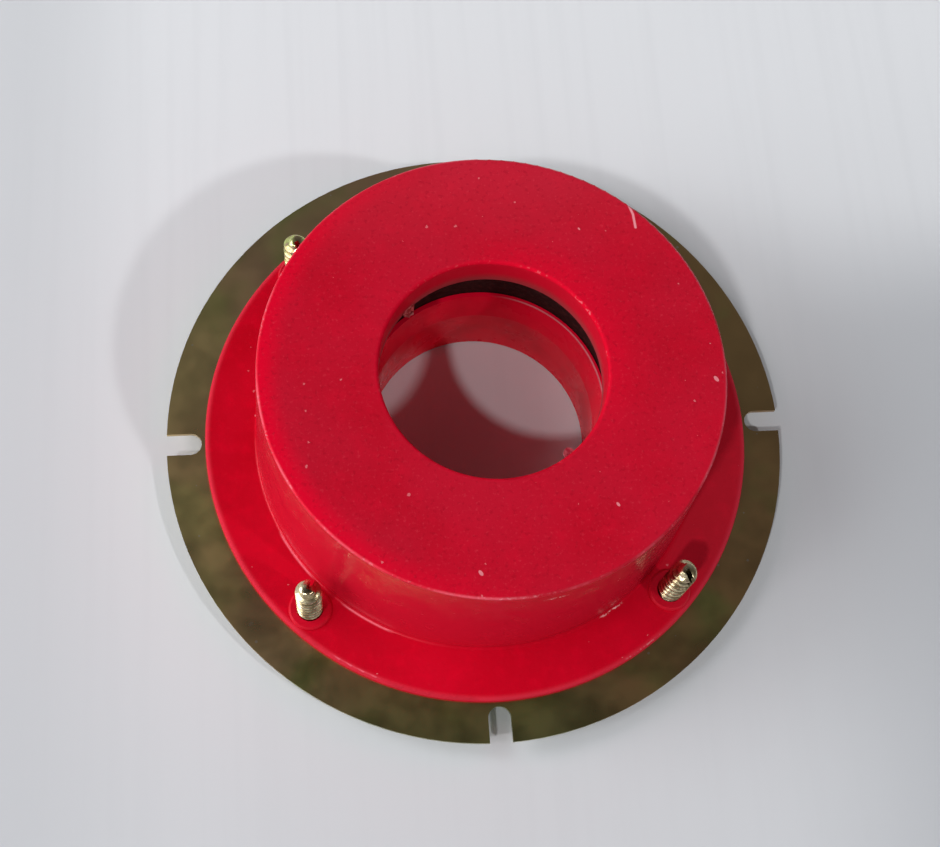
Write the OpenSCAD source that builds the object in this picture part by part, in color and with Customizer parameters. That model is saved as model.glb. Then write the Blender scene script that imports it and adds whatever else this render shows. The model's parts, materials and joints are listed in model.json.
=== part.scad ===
// Pipe fire collar: a moulded collar with an intumescent ring inside, screwed to a notched steel plate.
// Millimetres, +Z up. The pipe runs along Z, and Z = 0 is the surface that the screw heads stand on.

/* [Pipe passage] */
// Diameter of the bore through the collar's lip
bore_d = 43.6; // [35:0.2:60]
// Depth of the lip, from the top face down
lip_depth = 7.5; // [5:0.5:12]
// Wall of the lip
lip_wall = 3.2; // [1.5:0.1:4]
// Rounding of the bore's upper edge
bore_edge_r = 0.7; // [0.2:0.1:1.2]
// Open height between the lip and the rim of the sleeve, where the ring swells out
throat_gap = 13.1; // [8:0.1:15]

/* [Collar body] */
// Height of the body above the plate
body_h = 37; // [34:0.5:50]
// Wall of the hub
hub_wall = 2.8; // [2:0.1:4]
// Draft of the hub's walls, in degrees
hub_draft = 2.8; // [0.5:0.1:4]
// Thickness of the top face
top_wall = 3; // [2:0.1:5]
// Width of the flange outside the hub
flange_land = 10.5; // [10:0.5:16]
// Thickness of the flange
flange_t = 2; // [1.5:0.1:4]
// Rounding of the flange's upper edge
flange_edge_r = 1; // [0.2:0.1:1.2]
// Fillet between the flange and the hub
foot_fillet_r = 0.6; // [0.2:0.1:0.7]
// Rounding of the top face's outer edge
top_edge_r = 0.5; // [0.2:0.1:0.9]
// Diameter of the low boss round each screw
boss_d = 8.6; // [7.6:0.2:9.6]
// Height of the low boss above the flange
boss_h = 0.9; // [0.2:0.1:1.5]
// Bevel on the low boss
boss_bevel = 0.4; // [0.1:0.1:0.6]

/* [Sleeve] */
// How much wider the sleeve's bore is than the lip's, on each side
sleeve_relief = 1.1; // [0.2:0.1:1.4]
// Wall of the sleeve
sleeve_wall = 1.2; // [0.8:0.1:1.6]
// How far the flared mouth opens outwards
flare_run = 1.2; // [0.6:0.1:1.6]
// Height of the flared mouth
flare_h = 7; // [4:0.5:8]
// Wall of the rim at the mouth
rim_wall = 0.9; // [0.6:0.1:1.4]
// Thickness of the flange that the plate clamps
sleeve_flange_t = 1.4; // [1:0.1:2.5]
// Height of the sleeve's foot above the standing surface
sleeve_foot_gap = 0.3; // [0.1:0.1:1]

/* [Intumescent ring] */
// Radial thickness of the ring
ring_t = 16.4; // [10:0.1:24]

/* [Mounting plate] */
// Thickness of the plate
plate_t = 1; // [0.8:0.1:2]
// Width of the plate outside the collar's flange
plate_rim = 8; // [7:0.5:14]
// Number of open fixing notches
notch_count = 4; // [2:1:6]
// Width of a fixing notch
notch_w = 4.6; // [4.2:0.1:5.6]
// Distance from the flange's edge to the round end of a notch
notch_gap = 0.8; // [0.4:0.1:1.5]

/* [Screws] */
// Number of screws, set midway between the notches
screw_count = 4; // [2:1:6]
// Diameter of a screw's thread
screw_d = 5.2; // [4.6:0.1:6]
// How far a screw stands above the flange
screw_reach = 17; // [10:0.5:22]
// Length of a screw's tapered tip
tip_h = 1.8; // [0.5:0.1:2.5]
// Diameter of a screw's end
tip_d = 3; // [2.4:0.1:3.9]
// Width of the cutting flute in a screw's end
flute_w = 1.3; // [0.6:0.1:1.6]
// Length of the cutting flute
flute_l = 6; // [3:0.5:8]
// Diameter of a screw's pan head
head_d = 10; // [9:0.1:12]
// Height of a screw's pan head
head_h = 4; // [3:0.1:5]
// Rounding of the pan head
head_round = 1.8; // [0.6:0.1:2.6]
// Width across the arms of the cross recess
recess_span = 5; // [3.5:0.1:6]
// Width of one arm of the cross recess
recess_w = 1.1; // [0.8:0.1:1.4]
// Depth of the cross recess
recess_depth = 2.2; // [1:0.1:2.6]

/* [Clearances] */
// Gap round the intumescent ring and the sleeve's flange
ring_clear = 0.3; // [0.1:0.1:0.6]
// Gap between the sleeve and its hole in the plate
sleeve_clear = 0.25; // [0.1:0.05:0.5]
// Gap between a screw and its hole in the plate
plate_hole_clear = 0.25; // [0.1:0.05:0.5]
// Gap between a screw's thread and its hole in the flange
thread_clear = 0.05; // [0.02:0.01:0.2]

/* [Hidden] */
$fn = 96;
// How far a cut runs past the surface that it opens
over = 1;

// Heights
plate_z = head_h;
plate_top = plate_z + plate_t;
flange_top = plate_top + flange_t;
body_top = plate_top + body_h;
under_top = body_top - top_wall;
lip_z = body_top - lip_depth;
rim_z = lip_z - throat_gap;
flare_z = rim_z - flare_h;
sleeve_flange_top = plate_top + sleeve_flange_t;
screw_top = flange_top + screw_reach;

// Radii, from the pipe outwards
bore_r = bore_d / 2;
lip_r = bore_r + lip_wall;
sleeve_r = bore_r + sleeve_relief;
sleeve_out_r = sleeve_r + sleeve_wall;
rim_in_r = sleeve_r + flare_run;
rim_r = rim_in_r + rim_wall;
ring_in_r = max(lip_r, rim_r, sleeve_out_r) + ring_clear;
ring_out_r = ring_in_r + ring_t;
function cavity_r(z) = ring_out_r + ring_clear + (under_top - z) * tan(hub_draft);
function hub_r(z) = cavity_r(z) + hub_wall;
sleeve_flange_r = cavity_r(sleeve_flange_top) - ring_clear;
hub_foot_r = hub_r(plate_top);
flange_r = hub_foot_r + flange_land;
screw_ring_r = hub_foot_r + flange_land / 2;
notch_end_r = flange_r + notch_gap;
plate_r = flange_r + plate_rim;

// Places copies evenly round the pipe, turned by a share of one step.
module around(count, share = 0) {
    for (i = [0 : count - 1])
        rotate([0, 0, (i + share) * 360 / count])
            children();
}

// Places copies on the ring of screws, midway between the notches.
module at_screws() {
    around(screw_count, 1 / 2)
        translate([screw_ring_r, 0, 0])
            children();
}

// An open notch with a round inner end, along +X.
module notch_outline() {
    translate([notch_end_r + notch_w / 2, 0]) {
        circle(d = notch_w);
        translate([0, -notch_w / 2])
            square([plate_r, notch_w]);
    }
}

// Zinc-plated sheet disc with the sleeve's hole, the fixing notches and the screw holes.
module mounting_plate() {
    color([0.36, 0.31, 0.17])
        translate([0, 0, plate_z])
            linear_extrude(plate_t)
                difference() {
                    circle(r = plate_r);
                    circle(r = sleeve_out_r + sleeve_clear);
                    around(notch_count)
                        notch_outline();
                    at_screws()
                        circle(d = screw_d + 2 * plate_hole_clear);
                }
}

// What a convex round takes off a corner at the origin whose solid lies towards +X and -Y.
module corner_off(r) {
    difference() {
        translate([-over, -r])
            square([over + r, r + over]);
        translate([r, -r])
            circle(r = r);
    }
}

// Half section of the hub: drafted wall, top face and the lip turned down round the bore.
module hub_section() {
    round_z = body_top - top_edge_r;
    round_r = hub_r(round_z) - top_edge_r / cos(hub_draft);
    translate([round_r, round_z])
        circle(r = top_edge_r);
    difference() {
        polygon([
            [hub_r(plate_top), plate_top],
            [round_r + top_edge_r * cos(hub_draft), round_z + top_edge_r * sin(hub_draft)],
            [round_r, body_top],
            [bore_r, body_top],
            [bore_r, lip_z],
            [lip_r, lip_z],
            [lip_r, under_top],
            [cavity_r(under_top), under_top],
            [cavity_r(plate_top), plate_top],
        ]);
        translate([bore_r, body_top])
            corner_off(bore_edge_r);
    }
}

// Half section of the flange, with its upper edge rounded.
module flange_section() {
    inner_r = hub_foot_r - hub_wall / 2;
    round_r = flange_r - flange_edge_r;
    round_z = flange_top - flange_edge_r;
    translate([inner_r, plate_top])
        square([round_r - inner_r, flange_t]);
    translate([inner_r, plate_top])
        square([flange_r - inner_r, flange_t - flange_edge_r]);
    translate([round_r, round_z])
        circle(r = flange_edge_r);
}

// Half section of the fillet where the hub rises from the flange.
module foot_fillet_section() {
    root = hub_wall / 2;
    translate([hub_r(flange_top + foot_fillet_r), flange_top])
        difference() {
            translate([-root, -flange_t / 2])
                square([root + foot_fillet_r, flange_t / 2 + foot_fillet_r]);
            translate([foot_fillet_r, foot_fillet_r])
                circle(r = foot_fillet_r);
        }
}

// Low bevelled boss round a screw, rooted in the flange.
module boss() {
    straight_h = flange_t + boss_h - boss_bevel;
    translate([0, 0, plate_top]) {
        cylinder(d = boss_d, h = straight_h);
        translate([0, 0, straight_h])
            cylinder(d1 = boss_d, d2 = boss_d - 2 * boss_bevel, h = boss_bevel);
    }
}

// One-piece moulding: hub, lip and flange, with a low boss round each screw.
module collar_body() {
    color([0.76, 0.05, 0.12])
        difference() {
            union() {
                rotate_extrude() {
                    hub_section();
                    flange_section();
                    foot_fillet_section();
                }
                at_screws()
                    boss();
            }
            at_screws()
                translate([0, 0, plate_top - over])
                    cylinder(d = screw_d + 2 * thread_clear, h = flange_t + boss_h + 2 * over);
        }
}

// Thin moulded tube with a flared mouth, held by a flange that lies on the plate.
module inner_sleeve() {
    color([0.66, 0.06, 0.12])
        rotate_extrude()
            polygon([
                [sleeve_r, sleeve_foot_gap],
                [sleeve_out_r, sleeve_foot_gap],
                [sleeve_out_r, plate_top],
                [sleeve_flange_r, plate_top],
                [sleeve_flange_r, sleeve_flange_top],
                [sleeve_out_r, sleeve_flange_top],
                [sleeve_out_r, flare_z],
                [rim_r, rim_z],
                [rim_in_r, rim_z],
                [sleeve_r, flare_z],
            ]);
}

// Graphite-filled ring that fills the hub round the sleeve and swells when it is heated.
module intumescent_ring() {
    color([0.09, 0.09, 0.1])
        rotate_extrude()
            translate([ring_in_r, sleeve_flange_top])
                square([ring_t, under_top - ring_clear - sleeve_flange_top]);
}

// Half section of a pan head that stands on its rounded face.
module head_section() {
    flat_r = head_d / 2 - head_round;
    square([flat_r, head_h]);
    translate([0, head_round])
        square([head_d / 2, head_h - head_round]);
    translate([flat_r, head_round])
        circle(r = head_round);
}

// One screw, head down, with a cross recess and a fluted cutting tip.
module screw() {
    shank_h = screw_top - tip_h;
    difference() {
        union() {
            rotate_extrude()
                intersection() {
                    head_section();
                    square([head_d, head_h]);
                }
            cylinder(d = screw_d, h = shank_h);
            translate([0, 0, shank_h])
                cylinder(d1 = screw_d, d2 = tip_d, h = tip_h);
        }
        for (turn = [0, 90])
            rotate([0, 0, turn])
                translate([-recess_span / 2, -recess_w / 2, -over])
                    cube([recess_span, recess_w, recess_depth + over]);
        translate([0, -flute_w / 2, screw_top - flute_l])
            cube([screw_d, flute_w, flute_l + over]);
    }
}

// Four thread-cutting screws, driven from below through the plate and the flange.
module screws() {
    color([0.78, 0.68, 0.42])
        at_screws()
            screw();
}

mounting_plate();
collar_body();
inner_sleeve();
intumescent_ring();
screws();
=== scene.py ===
"""Looks of the pipe fire collar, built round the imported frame. Metres, +Z up, as in the frame."""
import json
import math

import bpy
import numpy as np
from mathutils import Matrix, Vector


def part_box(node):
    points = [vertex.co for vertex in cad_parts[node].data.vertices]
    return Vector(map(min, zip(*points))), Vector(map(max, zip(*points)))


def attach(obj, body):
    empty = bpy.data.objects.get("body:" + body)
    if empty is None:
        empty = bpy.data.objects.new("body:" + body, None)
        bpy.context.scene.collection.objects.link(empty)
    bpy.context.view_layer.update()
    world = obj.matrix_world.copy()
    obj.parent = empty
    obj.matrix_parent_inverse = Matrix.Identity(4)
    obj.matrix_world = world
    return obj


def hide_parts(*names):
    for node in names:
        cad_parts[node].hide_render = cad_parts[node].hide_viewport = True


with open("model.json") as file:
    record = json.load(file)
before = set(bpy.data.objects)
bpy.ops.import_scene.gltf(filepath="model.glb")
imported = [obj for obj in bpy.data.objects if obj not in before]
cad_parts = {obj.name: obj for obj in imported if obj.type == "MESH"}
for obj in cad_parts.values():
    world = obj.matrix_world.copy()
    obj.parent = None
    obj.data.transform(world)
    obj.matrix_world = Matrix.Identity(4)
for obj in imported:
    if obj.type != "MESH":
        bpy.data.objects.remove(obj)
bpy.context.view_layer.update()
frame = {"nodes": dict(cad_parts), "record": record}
nodes = frame["nodes"]
mounts = {m["name"]: m for m in frame["record"]["mounts"]}

MM = 0.001

# Sizes that the frame gives
plate_low, plate_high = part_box("mounting_plate")
body_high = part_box("collar_body")[1]
sleeve_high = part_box("inner_sleeve")[1]
screws_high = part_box("screws")[1]
PLATE_TOP = plate_high.z
BODY_TOP = body_high.z
FLANGE_R = body_high.x
SLEEVE_TOP = sleeve_high.z
SCREW_TOP = screws_high.z
BORE_R = mounts["pipe_bore"]["dims"]["r_mm"] * MM

# Sizes of the mouldings that the boxes don't give
HUB_TOP_R = 44.65 * MM
HUB_FOOT_R = 46.46 * MM
FLANGE_T = 2 * MM
FLANGE_LAND = FLANGE_R - HUB_FOOT_R
FLANGE_TOP = PLATE_TOP + FLANGE_T
LIP_DEPTH = 7.5 * MM
LIP_Z = BODY_TOP - LIP_DEPTH
BOSS_R = 4.3 * MM
BOSS_H = 0.9 * MM
BOSS_TOP = FLANGE_TOP + BOSS_H
SLEEVE_RIM_R = 24.3 * MM

# Sizes of the screws
SCREW_COUNT = 4
SCREW_RING_R = HUB_FOOT_R + FLANGE_LAND / 2
SCREW_R = 2.6 * MM
ROOT_R = 1.85 * MM
THREAD_PITCH = 2.2 * MM
HEAD_R = 5 * MM
HEAD_H = plate_low.z
HEAD_ROUND = 1.8 * MM
HEAD_HIDDEN_R = SCREW_R * 0.6
SHANK_SINK = 0.2 * MM
TIP_H = 2.4 * MM
TIP_R = 0.8 * MM
FLUTE_W = 1.0 * MM
FLUTE_L = 7 * MM
RECESS_SPAN = 5 * MM
RECESS_W = 1.1 * MM
RECESS_DEPTH = 2.2 * MM
# The thread's ridge, in turns: half its width at the foot, and the width of one flank
RIDGE_HALF = 0.27
RIDGE_FLANK = 0.22
# How far each screw is turned about its own axis
SCREW_TURNS_DEG = (20, 300, 70, 295)

# Fineness of the meshes
HEAD_STEPS = 64
HEAD_ROUND_STEPS = 10
SHANK_STEPS = 72
ROWS_PER_TURN = 24
SHARP_DEG = 35


class Shader:
    """One material's node tree, with short calls for the nodes that the finishes share."""

    def __init__(self, name):
        self.material = bpy.data.materials.new(name)
        self.material.use_nodes = True
        self.tree = self.material.node_tree
        self.bsdf = self.tree.nodes["Principled BSDF"]
        self.place = self.node("ShaderNodeTexCoord").outputs["Object"]

    def node(self, kind, **settings):
        made = self.tree.nodes.new(kind)
        for key, value in settings.items():
            setattr(made, key, value)
        return made

    def feed(self, socket, value):
        """Links an output to a socket, or sets the socket to a plain value."""
        if isinstance(value, bpy.types.NodeSocket):
            self.tree.links.new(value, socket)
        else:
            socket.default_value = value

    def set(self, name, value):
        self.feed(self.bsdf.inputs[name], value)

    def math(self, operation, a, b=0.0):
        made = self.node("ShaderNodeMath", operation=operation)
        self.feed(made.inputs[0], a)
        self.feed(made.inputs[1], b)
        return made.outputs[0]

    def times(self, a, b):
        return self.math("MULTIPLY", a, b)

    def most(self, a, b):
        return self.math("MAXIMUM", a, b)

    def length(self, a, b):
        """Length of a line that runs a one way and b square to it."""
        return self.math("SQRT", self.math("ADD", self.times(a, a), self.times(b, b)))

    def vector_math(self, operation, a, b):
        made = self.node("ShaderNodeVectorMath", operation=operation)
        self.feed(made.inputs[0], a)
        self.feed(made.inputs[1], b)
        return made

    def span(self, value, low, high, to_low=0.0, to_high=1.0):
        """Maps low..high to to_low..to_high, clamped and smoothed."""
        made = self.node("ShaderNodeMapRange", interpolation_type="SMOOTHSTEP")
        for key, entry in (("Value", value), ("From Min", low), ("From Max", high)):
            self.feed(made.inputs[key], entry)
        made.inputs["To Min"].default_value = to_low
        made.inputs["To Max"].default_value = to_high
        return made.outputs["Result"]

    def eased(self, value, to_low, to_high):
        """Maps 0..1 to to_low..to_high, clamped and smoothed."""
        return self.span(value, 0.0, 1.0, to_low, to_high)

    def over(self, base, other, where, share=1.0):
        """Lays another colour over a base colour, as far as where says, times share."""
        made = self.node("ShaderNodeMix", data_type="RGBA")
        factor = where if share == 1.0 else self.times(where, share)
        self.feed(made.inputs["Factor"], factor)
        self.feed(made.inputs[6], base)
        self.feed(made.inputs[7], other)
        return made.outputs[2]

    def bump(self, height, depth, normal=None):
        """A normal that stands up by up to depth metres with height, on top of another if given."""
        made = self.node("ShaderNodeBump")
        made.inputs["Strength"].default_value = 1.0
        made.inputs["Distance"].default_value = depth
        self.feed(made.inputs["Height"], height)
        if normal is not None:
            self.feed(made.inputs["Normal"], normal)
        return made.outputs["Normal"]

    def stretched(self, stretch, turn=0.0):
        """Coordinates that draw a pattern out along Y, turned about Z by turn radians."""
        mapping = self.node("ShaderNodeMapping", vector_type="TEXTURE")
        self.feed(mapping.inputs["Vector"], self.place)
        mapping.inputs["Rotation"].default_value = (0, 0, turn)
        mapping.inputs["Scale"].default_value = (1, stretch, 1)
        return mapping.outputs["Vector"]

    def ragged(self, reach, size):
        """Coordinates shaken by up to reach metres, in waves of about size metres."""
        made = self.node("ShaderNodeTexNoise")
        self.feed(made.inputs["Vector"], self.place)
        made.inputs["Scale"].default_value = 1 / size
        centred = self.vector_math("SUBTRACT", made.outputs["Color"], (0.5, 0.5, 0.5)).outputs["Vector"]
        shift = self.vector_math("MULTIPLY", centred, (2 * reach, 2 * reach, 2 * reach)).outputs["Vector"]
        return self.vector_math("ADD", self.place, shift).outputs["Vector"]

    def noise(self, size, detail=2, roughness=0.5, vector=None):
        """Noise whose blobs are about size metres across."""
        made = self.node("ShaderNodeTexNoise")
        self.feed(made.inputs["Vector"], vector or self.place)
        made.inputs["Scale"].default_value = 1 / size
        made.inputs["Detail"].default_value = detail
        made.inputs["Roughness"].default_value = roughness
        return made.outputs["Fac"]

    def patches(self, size, cut, to=(0.0, 1.0), detail=2, roughness=0.5, vector=None):
        """Noise of that size, whose range between the two cut levels is spread over the range to."""
        return self.span(self.noise(size, detail, roughness, vector), *cut, *to)

    def specks(self, cell, share, size, vector=None):
        """Dots scattered in plan: that share of the cells holds one, of up to size cells in radius."""
        made = self.node("ShaderNodeTexVoronoi", voronoi_dimensions="2D")
        self.feed(made.inputs["Vector"], vector or self.place)
        made.inputs["Scale"].default_value = 1 / cell
        split = self.node("ShaderNodeSeparateColor")
        self.feed(split.inputs[0], made.outputs["Color"])
        chosen = self.math("LESS_THAN", split.outputs[0], share)
        reach = self.times(split.outputs[1], size)
        return self.times(chosen, self.math("LESS_THAN", made.outputs["Distance"], reach))

    def xyz(self):
        """The three coordinates of a place on the surface."""
        split = self.node("ShaderNodeSeparateXYZ")
        self.feed(split.inputs[0], self.place)
        return split.outputs

    def axis_parts(self):
        """Radius from the pipe's axis, and height."""
        x, y, z = self.xyz()
        return self.length(x, y), z

    def screw_parts(self):
        """Radius from the nearest screw's axis, and height."""
        middle = SCREW_RING_R / math.sqrt(2)
        place = self.xyz()
        x, y = (self.math("SUBTRACT", self.math("ABSOLUTE", axis), middle) for axis in place[:2])
        return self.length(x, y), place[2]

    def near(self, parts, radius, height, width):
        """1 where parts are that radius and height, falling to 0 at width from there."""
        r, z = parts
        gap = self.length(self.math("SUBTRACT", r, radius), self.math("SUBTRACT", z, height))
        return self.span(gap, width, 0.0)

    def near_ring(self, radius, height, width):
        """1 on the circle of that radius and height about the pipe's axis."""
        return self.near(self.axis_parts(), radius, height, width)

    def near_boss_rings(self, radius, height, width):
        """As near_ring, for the four circles round the screws."""
        return self.near(self.screw_parts(), radius, height, width)

    def sector(self, start_deg, end_deg, fade_deg=3):
        """1 between two angles about the pipe's axis, fading to 0 beyond them."""
        x, y, _ = self.xyz()
        angle = self.math("ARCTAN2", y, x)
        middle = math.radians((start_deg + end_deg) / 2)
        half = math.radians((end_deg - start_deg) / 2)
        gap = self.math("ABSOLUTE", self.math("SUBTRACT", angle, middle))
        return self.span(gap, half + math.radians(fade_deg), half)

    def facing(self, angle_deg):
        """Cosine of the angle about the pipe's axis from a given one."""
        angle = math.radians(angle_deg)
        ahead = (math.cos(angle), math.sin(angle), 0)
        along = self.vector_math("DOT_PRODUCT", self.place, ahead).outputs["Value"]
        return self.math("DIVIDE", along, self.axis_parts()[0])

    def arc_mark(self, radius, height, width, start_deg, end_deg):
        """As near_ring, for the part of the circle between two angles."""
        return self.times(self.near_ring(radius, height, width), self.sector(start_deg, end_deg))

    def stroke(self, start, end, width):
        """1 on the line from start to end, falling to 0 at width from it."""
        run = Vector(end) - Vector(start)
        from_start = self.vector_math("SUBTRACT", self.place, start).outputs["Vector"]
        along = self.vector_math("DOT_PRODUCT", from_start, run / run.length_squared).outputs["Value"]
        share = self.node("ShaderNodeClamp")
        self.feed(share.inputs["Value"], along)
        nearest = self.node("ShaderNodeVectorMath", operation="SCALE")
        nearest.inputs[0].default_value = run
        self.feed(nearest.inputs["Scale"], share.outputs[0])
        gap = self.vector_math("DISTANCE", from_start, nearest.outputs["Vector"]).outputs["Value"]
        return self.span(gap, width, width / 2)


def colour(red, green, blue):
    return (red, green, blue, 1.0)


# Reds of the mouldings
RED = colour(0.60, 0.003, 0.019)
RED_DEEP = colour(0.54, 0.002, 0.014)
# Brighter red: random patches, and painted light on the lit wall, the flange, the glowing edges and inside
# the bore
RED_BRIGHT_AND_LIT = colour(0.82, 0.002, 0.026)
# Paler red: random grains, and painted sheen, fill light and highlight
RED_PALE_AND_LIT = colour(0.74, 0.06, 0.10)
# Whitened plastic for dust, scratches, worn dots and the nick, and a painted highlight on the sleeve's rim
RED_WHITENED_AND_GLINT = colour(0.88, 0.30, 0.34)
# Greyish red for a painted sheen at the lip's lower edge
RED_LIP_SHEEN = colour(0.34, 0.055, 0.06)
# Greyer red for a painted sheen on the top face
RED_SHEENED = colour(0.53, 0.014, 0.038)
# Scraped red, for scrapes and for the top edge's line of wear and painted highlight
RED_SCRAPED_AND_GLINT = colour(0.92, 0.16, 0.22)
RED_CHIPPED = colour(0.95, 0.55, 0.56)
# Darker red for painted shade on the hub's wall
RED_WALL_SHADE = colour(0.50, 0.012, 0.03)
RED_SPOT = colour(0.33, 0.004, 0.014)
# Dyed plastic sends back little but red, in its gloss too
RED_GLOSS = colour(1.0, 0.25, 0.30)
SLEEVE_RED = colour(0.92, 0.003, 0.032)
SLEEVE_DEEP = colour(0.72, 0.003, 0.024)

# Where painted light and shade, and the finish of the mouldings, change about the axis, as start, end and
# fade in degrees
WALL_LIT = (-150, -80, 25)
FLANGE_SHADED = (-35, 70, 20)
FLANGE_LIT = (-105, -45, 15)
FOOT_POLISHED = (-165, -118, 25)
BORE_SHADED = (-70, 40, 40)
BORE_WORN = (-15, 80, 25)
SLEEVE_RIM_GLINT = (-60, 60, 25)
# The middles of the stretches of edge with a painted glow, as if light came through
RIM_GLOW_DEG = -170
BORE_GLOW_DEG = 27
# The cosines from those middles between which the glow grows
RIM_GLOW_FACING = (-0.1, 1.05)
BORE_GLOW_FACING = (0.1, 0.95)

# How far those changes reach over the surface
TOP_FADE = 0.5 * MM
TOP_BACK_Y = (18 * MM, 40 * MM)
WALL_FOOT_FADE = 2 * MM
WALL_TOP_FADE = 1 * MM
HUB_SIDE_R = (HUB_TOP_R - 6 * MM, HUB_TOP_R - 4 * MM)
FLANGE_FADE = 1 * MM
FLANGE_HIGHLIGHT_W = 1.5 * MM
BORE_FADE = 1 * MM
LIP_SHEEN_W = 3.4 * MM
RIM_GLOW_R = (HUB_TOP_R - 5.5 * MM, HUB_TOP_R - 0.3 * MM)
BORE_GLOW_R = (BORE_R + 9 * MM, BORE_R)
RIM_WEAR_GLINT_W = 0.6 * MM
RIM_WORN_W = 0.5 * MM
RIM_SHINE_W = 1.1 * MM
BORE_WORN_W = 0.6 * MM
FOOT_SHINE_W = 0.75 * MM
BOSS_SHINE_W = 0.9 * MM
SLEEVE_RIM_W = 0.28 * MM

# How strong some of them are, where 1 is full
BORE_GLOW = 0.55
TOP_BACK_SHEEN = 0.16
FLANGE_PAINTED_LIGHT = 0.2
RIM_SHINE = 0.35
BOSS_SHINE = 0.6
WALL_SHINE = 0.2
SMALL_DUST = 0.45
LARGE_DUST = 0.8
# How much roughness the edges and the hub's wall lose, and the specular levels without and with shine
EDGE_SMOOTHING = 0.2
WALL_SMOOTHING = 0.27
SPECULAR_RANGE = (0.025, 0.9)

# Marks of use, as radius, height, width and the two angles in degrees that they run between
DENTS = (
    (56.75 * MM, FLANGE_TOP, 0.45 * MM, -60.5, -55.5),
    (46.8 * MM, FLANGE_TOP, 0.4 * MM, -60.5, -57.5),
    (44.85 * MM, BODY_TOP - 3.5 * MM, 0.6 * MM, -80.0, -78.0),
)
SCRAPES = (
    (56.4 * MM, FLANGE_TOP, 0.32 * MM, -123.5, -116.5),
    (46.85 * MM, FLANGE_TOP, 0.32 * MM, -128.0, -118.0),
    (46.85 * MM, FLANGE_TOP, 0.32 * MM, -152.0, -142.0),
)
# A cut in the top face's outer edge, as three points in plan
NICK = [Vector((x, y, BODY_TOP / MM)) * MM for x, y in ((29.3, 33.6), (30.0, 31.4), (30.2, 28.5))]
NICK_W = 0.32 * MM
# The ways that faint scratches run, in radians
SCRATCH_TURNS = (0.4, 1.5, 2.5)


def worn_edges(s):
    """How far the plastic is whitened: sparse dots along the edges."""
    dots = s.patches(0.7 * MM, cut=(0.52, 0.62), roughness=0.6)
    rare = s.patches(7 * MM, cut=(0.45, 0.6))
    bore_side = s.eased(s.sector(*BORE_WORN), 0.3, 1.0)
    bore = s.times(s.near_ring(BORE_R, BODY_TOP, BORE_WORN_W), bore_side)
    line = s.most(s.near_ring(HUB_TOP_R, BODY_TOP, RIM_WORN_W), bore)
    return s.times(s.times(line, rare), dots)


def dented(s):
    """How far the plastic is chipped: close dots along each dent."""
    line = s.arc_mark(*DENTS[0])
    for dent in DENTS[1:]:
        line = s.most(line, s.arc_mark(*dent))
    return s.times(line, s.patches(0.6 * MM, cut=(0.48, 0.58), roughness=0.6))


def polished_edges(s):
    """How far the moulding shines: along the top edge, the fillet at the hub's foot and the bosses."""
    foot_side = s.eased(s.sector(*FOOT_POLISHED), 0.15, 1.0)
    foot = s.times(s.near_ring(HUB_FOOT_R, FLANGE_TOP, FOOT_SHINE_W), foot_side)
    rim = s.times(s.near_ring(HUB_TOP_R, BODY_TOP, RIM_SHINE_W), RIM_SHINE)
    bosses = s.times(s.near_boss_rings(BOSS_R, BOSS_TOP, BOSS_SHINE_W), BOSS_SHINE)
    return s.most(s.most(rim, foot), bosses)


def glowing_edges(s):
    """How far a painted glow stands for light coming through the thin plastic: at the lit side of the rim,
    and of the bore's edge.
    """
    r = s.axis_parts()[0]
    rim_side = s.span(s.facing(RIM_GLOW_DEG), *RIM_GLOW_FACING)
    rim = s.times(s.span(r, *RIM_GLOW_R), rim_side)
    bore_side = s.span(s.facing(BORE_GLOW_DEG), *BORE_GLOW_FACING, 0.0, BORE_GLOW)
    bore = s.times(s.span(r, *BORE_GLOW_R), bore_side)
    return s.most(rim, bore)


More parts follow.
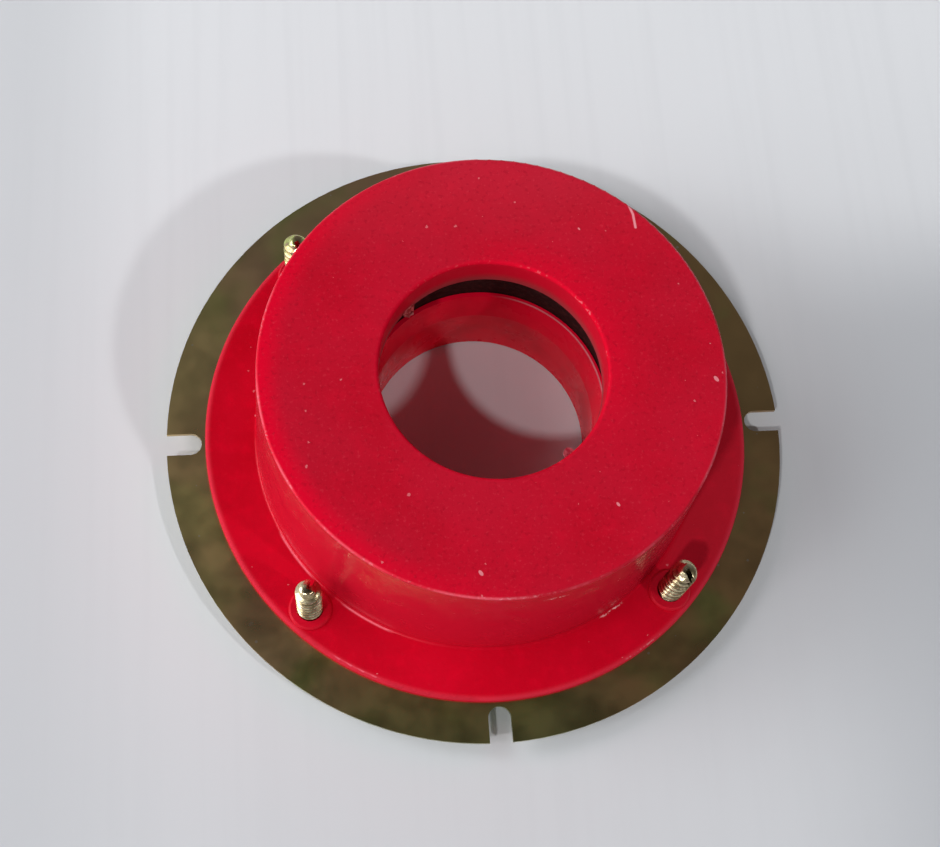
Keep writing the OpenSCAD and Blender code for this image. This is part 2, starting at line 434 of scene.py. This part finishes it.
def moulded_colour(s, r, top, wall, hub_side):
    """The red in patches, with painted light, shade, sheen and glow where the moulding is lit or shaded,
    and finely mottled.
    """
    base = s.over(RED, RED_DEEP, s.patches(16 * MM, cut=(0.35, 0.7), detail=3))
    base = s.over(base, RED_BRIGHT_AND_LIT, s.patches(3.5 * MM, cut=(0.45, 0.75), to=(0.0, 0.3), detail=3))
    # Painted sheen in soft patches on the top face
    sheen = s.patches(20 * MM, cut=(0.3, 0.7), to=(0.3, 0.55), detail=3)
    base = s.over(base, RED_SHEENED, s.times(top, sheen))
    # Painted shade: the hub's wall darker than the top
    base = s.over(base, RED_WALL_SHADE, wall, share=0.7)
    # Painted light on the lit side of the hub's wall
    base = s.over(base, RED_BRIGHT_AND_LIT, s.times(hub_side, s.sector(*WALL_LIT)), share=0.3)
    # Painted sheen: the back of the top face paler
    back = s.span(s.xyz()[1], *TOP_BACK_Y, 0.0, TOP_BACK_SHEEN)
    base = s.over(base, RED_PALE_AND_LIT, s.times(top, back))
    # Painted glow along the lit rim and bore edge
    base = s.over(base, RED_BRIGHT_AND_LIT, s.times(top, glowing_edges(s)))
    # Painted light on the flange: fill on its shaded side, brighter on its lit side
    flange = s.span(r, HUB_FOOT_R, HUB_FOOT_R + FLANGE_FADE, 0.0, FLANGE_PAINTED_LIGHT)
    base = s.over(base, RED_PALE_AND_LIT, s.times(s.sector(*FLANGE_SHADED), flange))
    base = s.over(base, RED_BRIGHT_AND_LIT, s.times(s.sector(*FLANGE_LIT), flange))
    mottle = s.eased(top, 0.3, 1.0)
    spots = s.patches(1 * MM, cut=(0.54, 0.7), to=(0.0, 0.3), roughness=0.6)
    base = s.over(base, RED_SPOT, s.times(spots, mottle))
    grains = s.patches(0.7 * MM, cut=(0.54, 0.8), to=(0.0, 0.35), detail=3, roughness=0.65)
    base = s.over(base, RED_PALE_AND_LIT, s.times(grains, mottle))
    # Painted light inside the bore, weaker on its shaded side
    inside = s.times(s.span(r, BORE_R + BORE_FADE, BORE_R), s.eased(s.sector(*BORE_SHADED), 0.6, 0.45))
    base = s.over(base, RED_BRIGHT_AND_LIT, inside)
    # Painted sheen: a greyish band round the lip's lower edge
    return s.over(base, RED_LIP_SHEEN, s.near_ring(BORE_R, LIP_Z, LIP_SHEEN_W), share=0.75)


def dusted(s, base, level):
    """Adds uneven specks and a few faint scratches to a base colour, where level is 1."""
    small = s.specks(6 * MM, share=0.28, size=0.045, vector=s.ragged(0.35 * MM, 0.6 * MM))
    large = s.specks(15 * MM, share=0.22, size=0.024, vector=s.stretched(1.8, 0.6))
    dust = s.most(s.times(small, SMALL_DUST), s.times(large, LARGE_DUST))
    base = s.over(base, RED_WHITENED_AND_GLINT, s.times(dust, level))
    for turn in SCRATCH_TURNS:
        scratch = s.specks(9 * MM, share=0.1, size=0.012, vector=s.stretched(8, turn))
        base = s.over(base, RED_WHITENED_AND_GLINT, s.times(scratch, level), share=0.2)
    return base


def rubbed(s, base):
    """Adds a painted highlight along the flange's edge, a top edge line that is partly rubbed and partly
    painted highlight, scrapes, worn dots, dents and the nick to a base colour.
    """
    # Painted highlight: a pale band along the flange's outer edge
    base = s.over(base, RED_PALE_AND_LIT, s.near_ring(FLANGE_R, FLANGE_TOP, FLANGE_HIGHLIGHT_W), share=0.5)
    # A broken pale line along the top outer edge: partly wear, partly painted highlight
    broken = s.patches(11 * MM, cut=(0.38, 0.62), to=(0.1, 0.75))
    base = s.over(base, RED_SCRAPED_AND_GLINT, s.times(s.near_ring(HUB_TOP_R, BODY_TOP, RIM_WEAR_GLINT_W), broken))
    for scrape in SCRAPES:
        base = s.over(base, RED_SCRAPED_AND_GLINT, s.arc_mark(*scrape))
    base = s.over(base, RED_WHITENED_AND_GLINT, worn_edges(s), share=0.8)
    base = s.over(base, RED_CHIPPED, dented(s))
    nick = s.most(s.stroke(*NICK[0:2], NICK_W), s.stroke(*NICK[1:3], NICK_W))
    return s.over(base, RED_WHITENED_AND_GLINT, nick)


def moulded_red():
    """Satin moulded plastic, smoother on the hub's wall, with a fine grain, worn edges and dust, and
    painted light, shade, sheen, highlights and glow in its colour.
    """
    s = Shader("moulded_red")
    r, z = s.axis_parts()
    top = s.span(z, BODY_TOP - TOP_FADE, BODY_TOP)
    above_foot = s.span(z, FLANGE_TOP, FLANGE_TOP + WALL_FOOT_FADE)
    wall = s.times(above_foot, s.span(z, BODY_TOP, BODY_TOP - WALL_TOP_FADE))
    hub_side = s.times(wall, s.span(r, *HUB_SIDE_R))
    base = moulded_colour(s, r, top, wall, hub_side)
    base = dusted(s, base, s.math("SUBTRACT", 1.0, wall))
    s.set("Base Color", rubbed(s, base))
    edges = polished_edges(s)
    grain = s.patches(4 * MM, cut=(0.3, 0.75), to=(0.42, 0.56), detail=4)
    smoothed = s.most(s.times(edges, EDGE_SMOOTHING), s.times(hub_side, WALL_SMOOTHING))
    s.set("Roughness", s.math("SUBTRACT", grain, smoothed))
    shine = s.most(edges, s.times(hub_side, WALL_SHINE))
    s.set("Specular IOR Level", s.eased(shine, *SPECULAR_RANGE))
    s.set("Specular Tint", RED_GLOSS)
    wave = s.bump(s.noise(7 * MM), 0.12 * MM)
    s.set("Normal", s.bump(s.noise(0.5 * MM, detail=3), 0.02 * MM, wave))
    return s.material


def sleeve_red():
    """Smoother thin moulding inside the bore, with a painted highlight along the lit part of its rim."""
    s = Shader("sleeve_red")
    base = s.over(SLEEVE_RED, SLEEVE_DEEP, s.patches(12 * MM, cut=(0.35, 0.7), detail=3))
    # Painted highlight along the lit side of the sleeve's rim
    rim = s.times(s.near_ring(SLEEVE_RIM_R, SLEEVE_TOP, SLEEVE_RIM_W), s.sector(*SLEEVE_RIM_GLINT))
    s.set("Base Color", s.over(base, RED_WHITENED_AND_GLINT, rim, share=0.8))
    s.set("Roughness", s.patches(5 * MM, cut=(0.3, 0.7), to=(0.24, 0.36), detail=3))
    s.set("Specular IOR Level", 0.14)
    s.set("Specular Tint", RED_GLOSS)
    s.set("Normal", s.bump(s.noise(4 * MM), 0.05 * MM))
    return s.material


def broken_red(name, dark, pale):
    """Torn plastic where a runner was snapped off."""
    s = Shader(name)
    s.set("Base Color", s.over(dark, pale, s.patches(0.8 * MM, cut=(0.4, 0.6))))
    s.set("Roughness", s.patches(1 * MM, cut=(0.3, 0.7), to=(0.35, 0.6)))
    s.set("Specular IOR Level", 0.3)
    s.set("Normal", s.bump(s.noise(0.6 * MM), 0.1 * MM))
    return s.material


# Colours of the plate
PLATE_OLIVE = colour(0.54, 0.42, 0.20)
PLATE_BROWN = colour(0.54, 0.36, 0.20)
PLATE_GREEN = colour(0.36, 0.43, 0.13)
PLATE_FRONT_SHADE = colour(0.34, 0.33, 0.13)
PLATE_RUSSET_AND_SHADE = colour(0.51, 0.315, 0.13)
PLATE_GOLD = colour(0.70, 0.55, 0.235)
PLATE_DIRT = colour(0.62, 0.60, 0.52)
# Where they lie: start, end and fade in degrees about the axis, and the bounds of a fade along X. The front
# and right sectors hold painted shade.
FRONT_SHADE_SECTOR = (-108, -78, 25)
RUSSET_SHADE_SECTOR = (-60, 70, 20)
GOLD_X = (-45 * MM, -58 * MM)
# A pale speck on the plate, as two ends
SPECK = [Vector((x, y, PLATE_TOP / MM)) * MM for x, y in ((-48.4, -38.4), (-48.6, -38.6))]
SPECK_W = 0.5 * MM
SPECK_SHARE = 0.5
GOLD_SHARE = 0.6


def passivated_zinc():
    """Yellow-passivated zinc: olive brown with large soft green and reddish patches, painted shade at the
    front, and a russet right side that is partly its own tone and partly painted shade.
    """
    s = Shader("passivated_zinc")
    base = s.over(PLATE_OLIVE, PLATE_BROWN, s.patches(22 * MM, cut=(0.35, 0.65)))
    # Painted shade: the plate's front darker
    base = s.over(base, PLATE_FRONT_SHADE, s.sector(*FRONT_SHADE_SECTOR))
    # The right side russet: partly the zinc's own tone, partly painted shade
    base = s.over(base, PLATE_RUSSET_AND_SHADE, s.sector(*RUSSET_SHADE_SECTOR), share=0.8)
    base = s.over(base, PLATE_GREEN, s.patches(14 * MM, cut=(0.47, 0.7), to=(0.0, 0.8), roughness=0.4))
    base = s.over(base, PLATE_GOLD, s.span(s.xyz()[0], *GOLD_X, 0.0, GOLD_SHARE))
    dirt = s.most(s.specks(6 * MM, share=0.3, size=0.05), s.times(s.stroke(*SPECK, SPECK_W), SPECK_SHARE))
    s.set("Base Color", s.over(base, PLATE_DIRT, dirt, share=0.5))
    s.set("Metallic", 1.0)
    s.set("Roughness", s.patches(9 * MM, cut=(0.3, 0.7), to=(0.27, 0.36), detail=3))
    s.set("Normal", s.bump(s.noise(10 * MM), 0.02 * MM))
    return s.material


# Colours of the screws
SCREW_GOLD = colour(0.80, 0.70, 0.45)
SCREW_BROWN = colour(0.40, 0.31, 0.17)
SCREW_ROSY = colour(0.66, 0.46, 0.34)
SCREW_LIME = colour(0.70, 0.78, 0.27)
SCREW_ROOT_SHADE = colour(0.17, 0.12, 0.06)
# Where the lime ones stand, as the bounds of a fade along Y
LIME_Y = (20 * MM, 40 * MM)
# Where painted shade lies between the ridges, as the bounds of a fade in radius and one in height
ROOT_SHADE_R = (2.45 * MM, 2.1 * MM)
ROOT_SHADE_Z = (SCREW_TOP - TIP_H, SCREW_TOP - TIP_H - 0.6 * MM)


def bright_zinc():
    """Bright yellow-passivated zinc on the screws, with painted shade between the thread's ridges."""
    s = Shader("bright_zinc")
    bright = s.over(SCREW_GOLD, SCREW_LIME, s.span(s.xyz()[1], *LIME_Y))
    base = s.over(bright, SCREW_BROWN, s.patches(2.2 * MM, cut=(0.42, 0.6), detail=3))
    base = s.over(base, SCREW_ROSY, s.patches(0.9 * MM, cut=(0.55, 0.68), to=(0.0, 0.8)))
    r, z = s.screw_parts()
    # Painted shade in the thread's roots, below the tip
    root = s.times(s.span(r, *ROOT_SHADE_R), s.span(z, *ROOT_SHADE_Z))
    s.set("Base Color", s.over(base, SCREW_ROOT_SHADE, root, share=0.85))
    s.set("Metallic", 1.0)
    s.set("Roughness", s.patches(1 * MM, cut=(0.3, 0.7), to=(0.14, 0.28), detail=3))
    s.set("Normal", s.bump(s.noise(0.5 * MM, detail=3), 0.04 * MM))
    return s.material


# Near-black graphite with a painted red tint of bounced light
GRAPHITE_DARK = colour(0.032, 0.007, 0.007)
GRAPHITE_PALE = colour(0.055, 0.014, 0.013)


def graphite():
    """Matt graphite-filled compound, near black, with a painted red tint of light bounced off the red
    mouldings.
    """
    s = Shader("graphite")
    grains = s.patches(1.2 * MM, cut=(0.45, 0.7), detail=4)
    s.set("Base Color", s.over(GRAPHITE_DARK, GRAPHITE_PALE, grains))
    s.set("Roughness", s.patches(2 * MM, cut=(0.3, 0.7), to=(0.8, 0.95), detail=3))
    s.set("Specular IOR Level", 0.15)
    s.set("Normal", s.bump(s.noise(0.9 * MM, detail=4), 0.1 * MM))
    return s.material


# Colours of the table, and the bounds of their fades along X and Y: painted light at the back, a painted
# shadow on the right and painted shade on the left
TABLE_FRONT = colour(0.70, 0.72, 0.75)
TABLE_BACK_LIT = colour(0.88, 0.90, 0.93)
TABLE_RIGHT_SHADOW = colour(0.46, 0.48, 0.51)
TABLE_LEFT_SHADE = colour(0.58, 0.60, 0.63)
TABLE_STREAK = colour(0.6, 0.62, 0.65)
BACK_Y = (-0.12, 0.14)
RIGHT_X = (0.05, 0.11)
RIGHT_Y = (0.06, 0.02)
LEFT_X = (-0.06, -0.10)
RIGHT_SHARE = 0.65
LEFT_SHARE = 0.5
STREAK_STRETCH = 40


def table_top():
    """Pale table, a little brighter at the back from painted light and duller at both sides from painted
    shadow and shade, with faint streaks.
    """
    s = Shader("table_top")
    x, y, _ = s.xyz()
    base = s.over(TABLE_FRONT, TABLE_BACK_LIT, s.span(y, *BACK_Y))
    base = s.over(base, TABLE_RIGHT_SHADOW, s.times(s.span(x, *RIGHT_X, 0.0, RIGHT_SHARE), s.span(y, *RIGHT_Y)))
    base = s.over(base, TABLE_LEFT_SHADE, s.span(x, *LEFT_X, 0.0, LEFT_SHARE))
    streaks = s.patches(4 * MM, cut=(0.45, 0.7), to=(0.0, 0.07), vector=s.stretched(STREAK_STRETCH))
    s.set("Base Color", s.over(base, TABLE_STREAK, streaks))
    s.set("Roughness", s.patches(20 * MM, cut=(0.3, 0.7), to=(0.5, 0.62), detail=3))
    s.set("Specular IOR Level", 0.2)
    return s.material


def finish_node(name, material):
    """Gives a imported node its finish."""
    piece = nodes[name]
    piece.data.materials.clear()
    piece.data.materials.append(material)


def linked(name, data):
    """A new object in the scene."""
    made = bpy.data.objects.new(name, data)
    bpy.context.scene.collection.objects.link(made)
    return made


def mesh_object(name, points, faces, material):
    """A smooth-shaded mesh with sharp edges kept."""
    mesh = bpy.data.meshes.new(name)
    mesh.from_pydata([tuple(p) for p in points], [], faces)
    mesh.update()
    mesh.shade_smooth()
    mesh.set_sharp_from_angle(angle=math.radians(SHARP_DEG))
    mesh.materials.append(material)
    return linked(name, mesh)


def tube_faces(rows, steps):
    """Faces of rows of steps points each, closed by an end point for the first and one for the last row."""
    faces = []
    for i in range(rows - 1):
        for j in range(steps):
            k = (j + 1) % steps
            faces.append((i * steps + j, i * steps + k, (i + 1) * steps + k, (i + 1) * steps + j))
    low_point, high_point = rows * steps, rows * steps + 1
    last = (rows - 1) * steps
    for j in range(steps):
        k = (j + 1) % steps
        faces.append((low_point, k, j))
        faces.append((high_point, last + j, last + k))
    return faces


def turned(profile, steps):
    """Points and faces of a closed body of revolution, from (radius, height) pairs from axis to axis."""
    rows = profile[1:-1]
    angles = np.linspace(0, 2 * math.pi, steps, endpoint=False)
    points = [(r * math.cos(a), r * math.sin(a), z) for r, z in rows for a in angles]
    points += [(0, 0, profile[0][1]), (0, 0, profile[-1][1])]
    return points, tube_faces(len(rows), steps)


def arc(centre, radius, start_deg, end_deg, count):
    angles = np.radians(np.linspace(start_deg, end_deg, count))
    return [(centre[0] + radius * math.cos(a), centre[1] + radius * math.sin(a)) for a in angles]


def cut_out(piece, *tools):
    """Cuts the tools out of a piece, and removes them."""
    for tool in tools:
        step = piece.modifiers.new("cut", "BOOLEAN")
        step.operation = "DIFFERENCE"
        step.solver = "EXACT"
        step.object = tool
    mesh = bpy.data.meshes.new_from_object(piece.evaluated_get(bpy.context.evaluated_depsgraph_get()))
    piece.modifiers.clear()
    piece.data = mesh
    for tool in tools:
        bpy.data.objects.remove(tool)


def block(name, low, high):
    """A box between two corners, to cut with."""
    corners = [(x, y, z) for x in (low[0], high[0]) for y in (low[1], high[1]) for z in (low[2], high[2])]
    faces = [(0, 1, 3, 2), (4, 6, 7, 5), (0, 4, 5, 1), (2, 3, 7, 6), (0, 2, 6, 4), (1, 5, 7, 3)]
    mesh = bpy.data.meshes.new(name)
    mesh.from_pydata(corners, [], faces)
    return linked(name, mesh)


def threaded_shank(low, high):
    """Points and faces of a coarse-threaded shank with a domed tip, closed at both ends."""
    count = int((high - low) / THREAD_PITCH * ROWS_PER_TURN)
    heights = np.linspace(low, high, count)
    angles = np.linspace(0, 2 * math.pi, SHANK_STEPS, endpoint=False)
    z, a = np.meshgrid(heights, angles, indexing="ij")
    phase = np.mod(z / THREAD_PITCH - a / (2 * math.pi), 1.0)
    ridge = np.clip((RIDGE_HALF - np.abs(phase - 0.5)) / RIDGE_FLANK, 0, 1)
    climb = np.clip((z - high + TIP_H) / TIP_H, 0, 1)
    dome = TIP_R / SCREW_R + (1 - TIP_R / SCREW_R) * np.sqrt(1 - climb ** 2)
    r = (ROOT_R + (SCREW_R - ROOT_R) * ridge) * dome
    points = np.stack([r * np.cos(a), r * np.sin(a), z], -1).reshape(-1, 3).tolist()
    points += [[0, 0, low], [0, 0, high]]
    return points, tube_faces(count, SHANK_STEPS)


def screw_mesh(material):
    """One screw, head down on z = 0, with a cross recess and a fluted tip."""
    flat_r = HEAD_R - HEAD_ROUND
    profile = [(0, 0), (flat_r / 2, 0)]
    profile += arc((flat_r, HEAD_ROUND), HEAD_ROUND, -90, 0, HEAD_ROUND_STEPS)
    profile += [(HEAD_R, HEAD_H), (HEAD_HIDDEN_R, HEAD_H), (0, HEAD_H)]
    head = mesh_object("screw_head", *turned(profile, HEAD_STEPS), material)
    reach = RECESS_SPAN / 2
    arm = RECESS_W / 2
    cut_out(
        head,
        block("recess_a", (-reach, -arm, -HEAD_H), (reach, arm, RECESS_DEPTH)),
        block("recess_b", (-arm, -reach, -HEAD_H), (arm, reach, RECESS_DEPTH)),
    )
    shank = mesh_object("screw_shank", *threaded_shank(HEAD_H - SHANK_SINK, SCREW_TOP), material)
    flute_low = (0, -FLUTE_W / 2, SCREW_TOP - FLUTE_L)
    flute_high = (2 * SCREW_R, FLUTE_W / 2, SCREW_TOP + FLUTE_L)
    cut_out(shank, block("flute", flute_low, flute_high))
    for part in (head, shank):
        part.data.set_sharp_from_angle(angle=math.radians(SHARP_DEG))
    return head, shank


def add_screws(material):
    """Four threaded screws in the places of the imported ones."""
    head, shank = screw_mesh(material)
    for i in range(SCREW_COUNT):
        a = math.radians(360 * (i + 0.5) / SCREW_COUNT)
        place = Vector((SCREW_RING_R * math.cos(a), SCREW_RING_R * math.sin(a), 0))
        turn = Matrix.Rotation(math.radians(SCREW_TURNS_DEG[i]), 4, "Z")
        for source in (head, shank):
            piece = linked("%s_%d" % (source.name, i + 1), source.data.copy())
            piece.data.transform(Matrix.Translation(place) @ turn)
            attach(piece, "root")
            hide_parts("screws")
    for source in (head, shank):
        bpy.data.objects.remove(source)


# The torn stubs: for each point of an outline, its shares of the width along the wall and of the reach
# into the bore, and the share of the height that the stub has there
RAGGED = (
    (-0.5, 0.0), (-0.46, 0.45), (-0.2, 0.72), (-0.05, 1.0),
    (0.12, 0.8), (0.33, 0.92), (0.5, 0.3), (0.5, 0.0),
)
TONGUE = (
    (-0.5, 0.0), (-0.48, 0.6), (-0.36, 0.85), (-0.12, 1.0),
    (0.14, 0.98), (0.36, 0.86), (0.5, 0.6), (0.5, 0.0),
)
STUB_TOPS = (0.35, 0.6, 1.0, 0.85, 0.95, 0.7, 0.5, 0.3)
STUB_SINK = 0.1 * MM


def add_gate_nub(name, material, outline, angle_deg, width, reach, height):
    """A stub of a runner, torn off at the lip's lower edge: a lump on the bore's wall."""
    root_r = BORE_R + STUB_SINK
    lower = [(root_r - reach * inward, width * along, LIP_Z) for along, inward in outline]
    upper = [(x, y, LIP_Z + height * top) for (x, y, _), top in zip(lower, STUB_TOPS)]
    count = len(outline)
    faces = [tuple(range(count - 1, -1, -1)), tuple(range(count, 2 * count))]
    for i in range(count):
        k = (i + 1) % count
        faces.append((i, k, count + k, count + i))
    piece = mesh_object(name, lower + upper, faces, material)
    piece.data.transform(Matrix.Rotation(math.radians(angle_deg), 4, "Z"))
    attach(piece, "root")


FLOOR_HALF = 4.0


def add_floor():
    half = FLOOR_HALF
    mesh = bpy.data.meshes.new("table")
    corners = [(-half, -half, 0), (half, -half, 0), (half, half, 0), (-half, half, 0)]
    mesh.from_pydata(corners, [], [(0, 1, 2, 3)])
    mesh.materials.append(table_top())
    floor = linked("table", mesh)


# The view: a camera above the front, turned a little about its own axis
IMAGE_W = 940
FOCAL_PX = 1500
SENSOR_W = 36.0
VIEW_AZIMUTH = math.radians(-16.41)
VIEW_ELEVATION = math.radians(69.755)
VIEW_ROLL = math.radians(13.112)
# The plate's middle in the camera's own axes: right, down, ahead
PLATE_IN_VIEW = Vector((1.66, 1.90, 317.51)) * MM


def add_camera():
    data = bpy.data.cameras.new("camera")
    data.sensor_width = SENSOR_W
    data.lens = FOCAL_PX / IMAGE_W * SENSOR_W
    turn = Matrix.Rotation(VIEW_AZIMUTH, 3, "Z")
    right = turn @ Vector((1, 0, 0))
    ahead = turn @ Vector((0, math.cos(VIEW_ELEVATION), -math.sin(VIEW_ELEVATION)))
    up = turn @ Vector((0, math.sin(VIEW_ELEVATION), math.cos(VIEW_ELEVATION)))
    rolled_right = math.cos(VIEW_ROLL) * right + math.sin(VIEW_ROLL) * up
    rolled_up = math.cos(VIEW_ROLL) * up - math.sin(VIEW_ROLL) * right
    offset = PLATE_IN_VIEW.x * rolled_right - PLATE_IN_VIEW.y * rolled_up + PLATE_IN_VIEW.z * ahead
    axes = Matrix((rolled_right, rolled_up, -ahead)).transposed().to_4x4()
    camera = linked("camera", data)
    camera.matrix_world = Matrix.Translation(Vector((0, 0, PLATE_TOP)) - offset) @ axes
    bpy.context.scene.camera = camera


# The lamps, as name, direction from the middle, share and spread
LAMP_DISTANCE = 3.0
LAMPS = (
    ("lamp_left_back", (-45, 21.5, 42), 0.12, 1.2),
    ("lamp_right_front", (31, -25, 42), 0.13, 0.14),
    ("lamp_front_left", (-18, -22.2, 42), 0.17, 0.16),
    ("lamp_left", (-44, -11.4, 42), 0.085, 0.8),
    ("lamp_low_left", (-80, -5, 30), 0.16, 2.4),
)


def add_lamp(name, towards, share, spread):
    """A round lamp. share is what it gives a level surface, where 1 shows a colour as written."""
    direction = Vector(towards).normalized()
    data = bpy.data.lights.new(name, "AREA")
    data.shape = "DISK"
    data.size = spread
    data.energy = math.pi ** 2 * share * LAMP_DISTANCE ** 2 / direction.z
    lamp = linked(name, data)
    lamp.location = direction * LAMP_DISTANCE
    lamp.rotation_mode = "QUATERNION"
    lamp.rotation_quaternion = direction.to_track_quat("Z", "Y")


# Brightness of the room by the sine of the elevation: pale low down, and dark straight above
ROOM = ((0.0, 0.60), (0.5, 0.26), (0.85, 0.16), (1.0, 0.004))
# How much brighter the room is on the left than ahead, and how much bluer than grey it is
ROOM_TILT = 0.55
ROOM_BLUE = 1.03


def add_world():
    world = bpy.data.worlds.new("room")
    bpy.context.scene.world = world
    world.use_nodes = True
    tree = world.node_tree
    background = tree.nodes["Background"]
    direction = tree.nodes.new("ShaderNodeTexCoord").outputs["Generated"]
    split = tree.nodes.new("ShaderNodeSeparateXYZ")
    tree.links.new(direction, split.inputs[0])
    ramp = tree.nodes.new("ShaderNodeValToRGB")
    stops = ramp.color_ramp.elements
    for position, _ in ROOM[1:-1]:
        stops.new(position)
    for stop, (position, level) in zip(stops, ROOM):
        stop.position = position
        stop.color = colour(level, level, level * ROOM_BLUE)
    tree.links.new(split.outputs[2], ramp.inputs["Fac"])
    tree.links.new(ramp.outputs["Color"], background.inputs["Color"])
    tilt = tree.nodes.new("ShaderNodeMapRange")
    tree.links.new(split.outputs[0], tilt.inputs["Value"])
    tilt.inputs["From Min"].default_value = -1
    tilt.inputs["From Max"].default_value = 1
    tilt.inputs["To Min"].default_value = 1 + ROOM_TILT
    tilt.inputs["To Max"].default_value = 1 - ROOM_TILT
    tree.links.new(tilt.outputs["Result"], background.inputs["Strength"])


finish_node("collar_body", moulded_red())
finish_node("inner_sleeve", sleeve_red())
finish_node("mounting_plate", passivated_zinc())
finish_node("intumescent_ring", graphite())
add_screws(bright_zinc())
torn = broken_red("broken_red", dark=colour(0.40, 0.06, 0.06), pale=colour(0.74, 0.24, 0.24))
bent = broken_red("bent_red", dark=colour(0.46, 0.03, 0.06), pale=colour(0.66, 0.15, 0.19))
add_gate_nub("gate_nub_1", torn, RAGGED, angle_deg=134.3, width=2.8 * MM, reach=1.6 * MM, height=2.2 * MM)
add_gate_nub("gate_nub_2", bent, TONGUE, angle_deg=-48.0, width=2.2 * MM, reach=2.3 * MM, height=1.2 * MM)
add_floor()
add_camera()
for lamp_row in LAMPS:
    add_lamp(*lamp_row)
add_world()
bpy.context.scene.view_settings.view_transform = "Standard"
